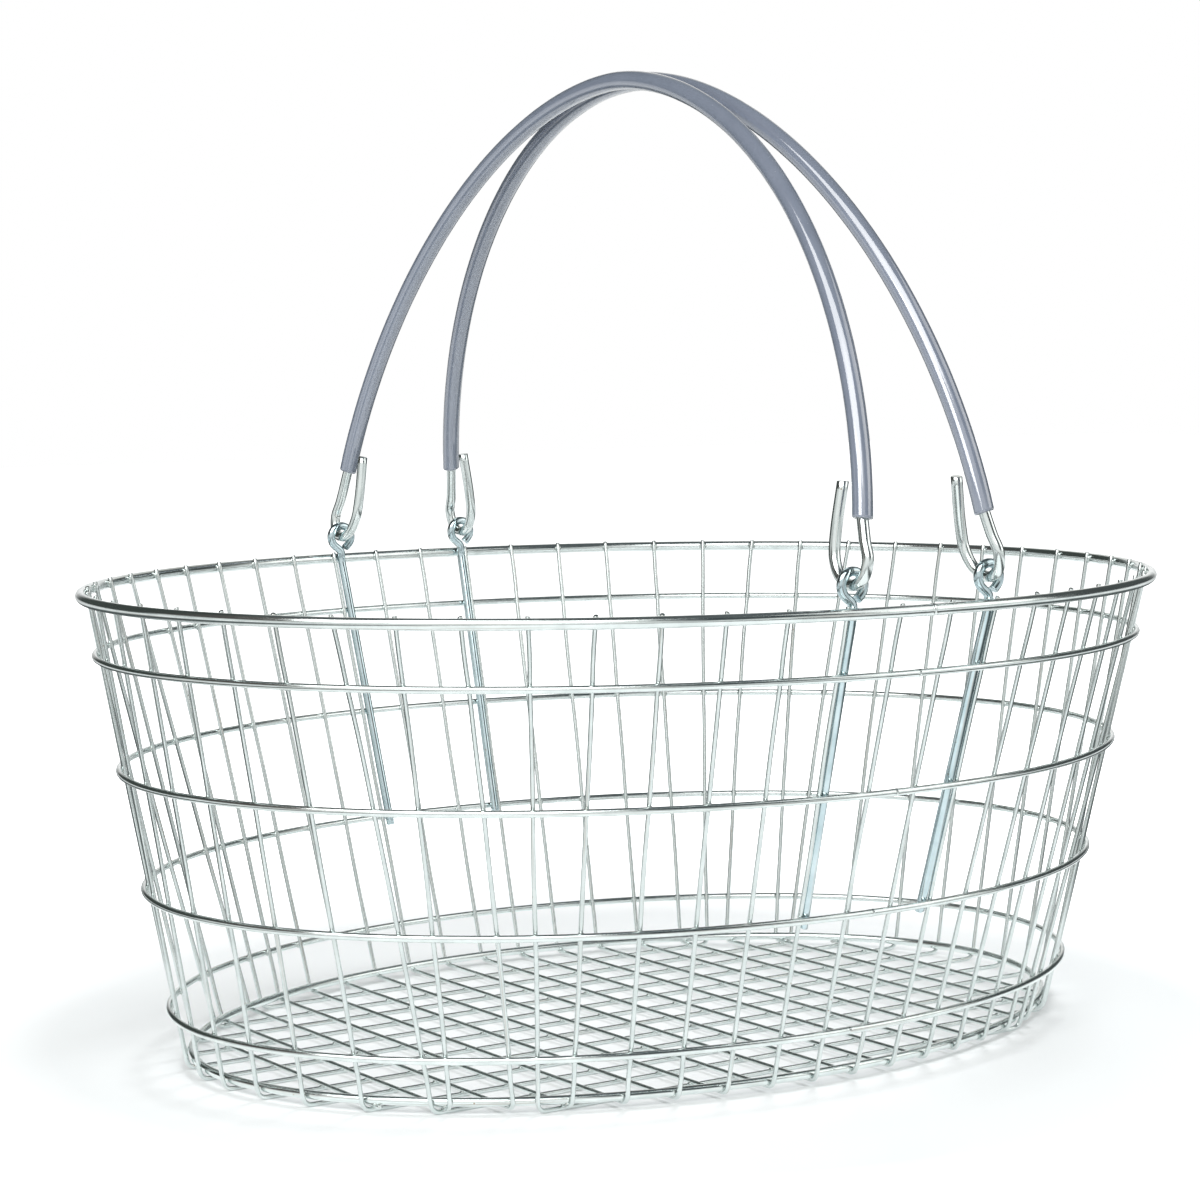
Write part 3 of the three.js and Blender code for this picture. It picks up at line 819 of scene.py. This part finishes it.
# %% Floor
HALF_FLOOR = 6
GLOW_STARTS, GLOW_FULL, NEAR_GLOW = 0.24, 0.42, 0.13
PAPER_ENDS, TABLE_STARTS, TABLE_ENDS, ROOM_STARTS = 0.26, 0.36, 0.52, 0.75
PAPER, TABLE, MIRRORED_GLOW = (0.86, 0.88, 0.885, 1), (0.10, 0.115, 0.115, 1), 0.3


def seen_straight(tree, x, y):
    """The kinds of ray, and a mask of those that come from the camera, past clear things too."""
    rays = add(tree, "ShaderNodeLightPath", x, y).outputs
    return rays, math_node(tree, x + 200, y, "MAXIMUM", rays["Is Camera Ray"], rays["Is Transmission Ray"])


floor_mesh = bpy.data.meshes.new("studio_floor")
corners = [(HALF_FLOOR * x, HALF_FLOOR * y, 0) for x, y in ((-1, -1), (1, -1), (1, 1), (-1, 1))]
floor_mesh.from_pydata(corners, [], [(0, 1, 2, 3)])
floor = bpy.data.objects.new("studio_floor", floor_mesh)
bpy.context.scene.collection.objects.link(floor)
floor_paint, tree, shader = start_material("floor_white")
shader.inputs["Roughness"].default_value = 0.9
shader.inputs["Specular IOR Level"].default_value = 0.0
shader.inputs["Emission Color"].default_value = (1, 1, 1, 1)
spot = add(tree, "ShaderNodeTexCoord", -1100, -300).outputs["Object"]
away = add(tree, "ShaderNodeVectorMath", -900, -300, {0: spot}, operation="LENGTH").outputs["Value"]
rays, seen_direct = seen_straight(tree, -900, -700)
glow = spread_mask(tree, away, GLOW_STARTS, GLOW_FULL, -700, -300, NEAR_GLOW, 1.0)
lift = math_node(tree, -400, -300, "MULTIPLY", glow, seen_direct)
sideways = add(tree, "ShaderNodeVectorMath", -1100, 0, {0: spot, 1: across}, operation="DOT_PRODUCT").outputs["Value"]
sideways = math_node(tree, -900, 0, "ABSOLUTE", sideways)
edge = spread_mask(tree, sideways, PAPER_ENDS, TABLE_STARTS, -700, 0)
table_end = spread_mask(tree, sideways, TABLE_ENDS, ROOM_STARTS, -700, 250, 1.0, 0.0)
table = math_node(tree, -600, 120, "MULTIPLY", edge, table_end)
mirrored = math_node(tree, -500, 0, "MULTIPLY", table, rays["Is Glossy Ray"])
paint = mix_colour(tree, -300, 100, mirrored, PAPER, TABLE)
on_paper = math_node(tree, -500, -150, "SUBTRACT", rays["Is Glossy Ray"], mirrored)
lift = math_node(tree, -250, -300, "MULTIPLY_ADD", on_paper, MIRRORED_GLOW, lift)
tree.links.new(lift, shader.inputs["Emission Strength"])
tree.links.new(paint, shader.inputs["Base Color"])
floor_mesh.materials.append(floor_paint)
floor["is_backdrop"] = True
print("floor", [round(v, 1) for v in floor.dimensions])

# %% [markdown]
# ## Lamps
#
# Bright metal shows its surroundings, so the studio matters as much as the finish. A high box in front on the left
# is the main light. A strip box under it draws the white line down each grip. It would burn out the thin wires, so
# light linking keeps it to the grips. A top box whitens the upper edge of the hoops in the same way. Another lights
# the right end. A small one behind draws the wires' shadows on the floor, and mirrors don't see it. All are placed
# by their angle from the camera and their height.

# %% Soft boxes
LAMPS_ROUND = Vector((0, 0, 0.15))


def aim_at(turn, height):
    """The way to something at an angle from the camera and at a height, both in degrees."""
    turn, height = math.radians(turn), math.radians(height)
    return (front * math.cos(turn) + across * math.sin(turn)) * math.cos(height) + Z * math.sin(height)


def soft_box(name, turn, height, distance, size, brightness, colour, mirrored=True):
    light = bpy.data.lights.new(name, "AREA")
    light.shape = "RECTANGLE"
    light.size, light.size_y = size
    light.energy = brightness * math.pi * size[0] * size[1]
    light.color = colour
    made = bpy.data.objects.new(name, light)
    bpy.context.scene.collection.objects.link(made)
    aim = aim_at(turn, height)
    made.location = LAMPS_ROUND + aim * distance
    made.visible_camera = False
    made.visible_glossy = mirrored
    made.rotation_mode = "QUATERNION"
    made.rotation_quaternion = aim.to_track_quat("Z", "Y")
    print(name, "at", [round(v, 2) for v in made.location], f"{light.energy:.1f} W")
    return made


def light_only(box, names):
    lit = bpy.data.collections.new(f"lit_by_{box.name}")
    for name in names:
        lit.objects.link(bpy.data.objects[name])
    box.light_linking.receiver_collection = lit


soft_box("high_box_front_left", -23, 47, 1.6, (1.7, 1.0), 3.4, (1, 1, 0.99))
strip = soft_box("strip_box_front_left", -27, 17, 1.5, (0.75, 0.85), 5.0, (1, 1, 1))
light_only(strip, [f"handle_grip_{letter}_tube" for letter in "ab"])
top = soft_box("top_box_front_left", -38, 68, 1.6, (0.5, 0.7), 2.0, (1, 1, 0.99))
light_only(top, [f"{name}_round" for name in hoops])
soft_box("soft_box_right", 80, 33, 1.6, (1.1, 1.2), 1.0, (1, 0.99, 0.97))
soft_box("small_box_behind", 150, 52, 1.8, (0.65, 0.65), 11.0, (0.97, 0.98, 1), mirrored=False)

# %% [markdown]
# ## The room
#
# Behind the basket the room is white, as in the photograph. Its sides are pale and warm, and its ceiling is dark.
# A white card stands low in front, which whitens the wires of the far wall. Four black flags stand round it:
# bright metal needs something dark to mirror, and that is where the dark bands along the rim come from. The camera
# sees plain white, and so does metal where it mirrors the wall behind.

# %% World
world = bpy.data.worlds.new("studio")
bpy.context.scene.world = world
world.use_nodes = True
tree = world.node_tree
sky = tree.nodes["Background"]
seen = add(tree, "ShaderNodeTexCoord", -1400, 0).outputs["Generated"]


def along_direction(direction, low, high, y):
    dot = add(tree, "ShaderNodeVectorMath", -1200, y, {0: seen, 1: direction}, operation="DOT_PRODUCT")
    return spread_mask(tree, dot.outputs["Value"], low, high, -1000, y)


def flag_mask(turn, height, radius, soft_edge, y):
    rim, core = math.cos(math.radians(radius + soft_edge)), math.cos(math.radians(radius))
    return along_direction(aim_at(turn, height), rim, core, y)


behind = along_direction(-front, 0.90, 0.98, 0)
overhead = along_direction(Z, 0.42, 0.72, -250)
low_down = along_direction(-Z, -0.28, -0.12, -1500)
to_the_right = along_direction(across, -0.7, 0.7, -500)
flag_right = flag_mask(42, 30, 20, 8, -750)
flag_left = flag_mask(-82, 36, 28, 10, -1000)
flag_back_left = flag_mask(-135, 16, 31, 8, -1750)
flag_back_right = flag_mask(132, 12, 26, 8, -2000)
card = flag_mask(-14, 16, 33, 8, -1250)
LEFT_SIDE, RIGHT_SIDE, WHITE = (0.60, 0.59, 0.56, 1), (0.80, 0.79, 0.76, 1), (1, 1, 1, 1)
room = mix_colour(tree, -700, -450, to_the_right, LEFT_SIDE, RIGHT_SIDE)
layers = [  # each lies over those before it
    (overhead, (0.10, 0.115, 0.12, 1)),
    (flag_right, (0.05, 0.065, 0.07, 1)),
    (flag_left, (0.085, 0.08, 0.075, 1)),
    (low_down, (0.86, 0.88, 0.87, 1)),
    (flag_back_left, (0.055, 0.065, 0.06, 1)),
    (flag_back_right, (0.07, 0.08, 0.08, 1)),
    (card, (1, 1, 0.99, 1)),
]
for i, (mask, colour) in enumerate(layers):
    room = mix_colour(tree, -600 + 50 * i, -350 + 50 * i, mask, room, colour)
rays, seen_direct = seen_straight(tree, -900, 400)
in_metal = math_node(tree, -700, 250, "MULTIPLY", rays["Is Glossy Ray"], behind)
backdrop = math_node(tree, -500, 350, "MAXIMUM", seen_direct, in_metal)
tree.links.new(mix_colour(tree, -200, 100, backdrop, room, WHITE), sky.inputs["Color"])
sky.inputs["Strength"].default_value = 1.0
bpy.context.scene.view_settings.view_transform = "Standard"
print("white wall behind, pale sides, dark ceiling, a white card and four flags")

# %% [markdown]
#
# The box of the dressed basket is measured. The dressed basket may not outgrow the CAD
# basket.

# %% Measure the dressed basket
low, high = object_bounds()
